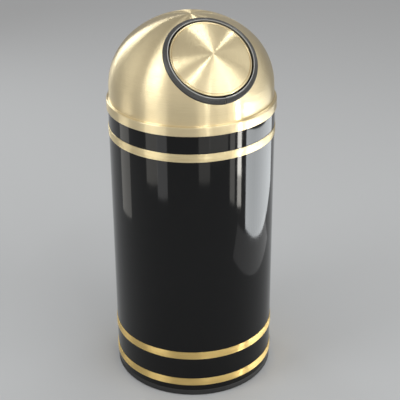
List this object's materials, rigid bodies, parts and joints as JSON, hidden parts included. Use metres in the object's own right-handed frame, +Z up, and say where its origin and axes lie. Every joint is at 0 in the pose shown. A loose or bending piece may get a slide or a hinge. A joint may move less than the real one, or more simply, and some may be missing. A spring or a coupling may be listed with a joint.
{
  "type": "dome top waste receptacle",
  "caption": "Round steel litter can with metal trim bands, a loose inner can with a bail, and a lift-off spun dome carrying a self-closing round push door.",
  "frame": {"origin": "centre of the base, on the floor", "axes": "+Z up along the can's centre line; the push door faces -Y; +X is to the right as seen from the door side"},
  "size_m": [0.388, 0.388, 0.889],
  "materials": {
    "black_enamel": "high gloss black baked enamel",
    "spun_brass": "satin, spun in circles about each piece's own axis",
    "satin_brass": "satin, brushed along the band",
    "base_vinyl": "matte black moulded vinyl",
    "edging_vinyl": "charcoal extruded vinyl, slight sheen",
    "galvanised_sheet": "galvanised, spangled",
    "zinc_steel": "bright zinc plate",
    "spring_steel": "oiled spring steel",
    "pad_rubber": "matte black rubber"
  },
  "bodies": {
    "can": {"outer_shell": "black_enamel", "base_pan": "galvanised_sheet", "base_ring": "base_vinyl", "upper_band": "satin_brass", "middle_band": "satin_brass", "lower_band": "satin_brass"},
    "inner_can": {"liner_wall": "galvanised_sheet", "liner_bottom": "galvanised_sheet", "bail_ears": "zinc_steel", "ear_rivets": "zinc_steel"},
    "bail": {"bail": "zinc_steel"},
    "dome": {"dome_shell": "spun_brass", "door_edging": "edging_vinyl", "hinge_bracket": "zinc_steel", "bracket_rivets": "satin_brass", "hinge_pin": "zinc_steel", "pin_clips": "spring_steel", "closing_spring": "spring_steel", "stop_pad": "pad_rubber"},
    "door": {"door_panel": "spun_brass", "door_leaf": "zinc_steel", "spring_leg": "spring_steel"}
  },
  "joints": [
    {"name": "inner_can_lift", "type": "slide", "parent": "can", "child": "inner_can", "axis": [0, 0, 1], "range_m": [0, 0.69]},
    {"name": "dome_lift", "type": "slide", "parent": "inner_can", "child": "dome", "axis": [0, 0, 1], "range_m": [0, 0.3]},
    {"name": "door_swing", "type": "hinge", "parent": "dome", "child": "door", "pos_m": [0, -0.022, 0.866], "axis": [1, 0, 0], "range_deg": [0, 60], "stiffness_Nm_per_rad": 0.3, "springref_deg": -85.94},
    {"name": "bail_swing", "type": "hinge", "parent": "inner_can", "child": "bail", "pos_m": [0, 0, 0.6511], "axis": [-1, 0, 0], "range_deg": [0, 180]}
  ]
}
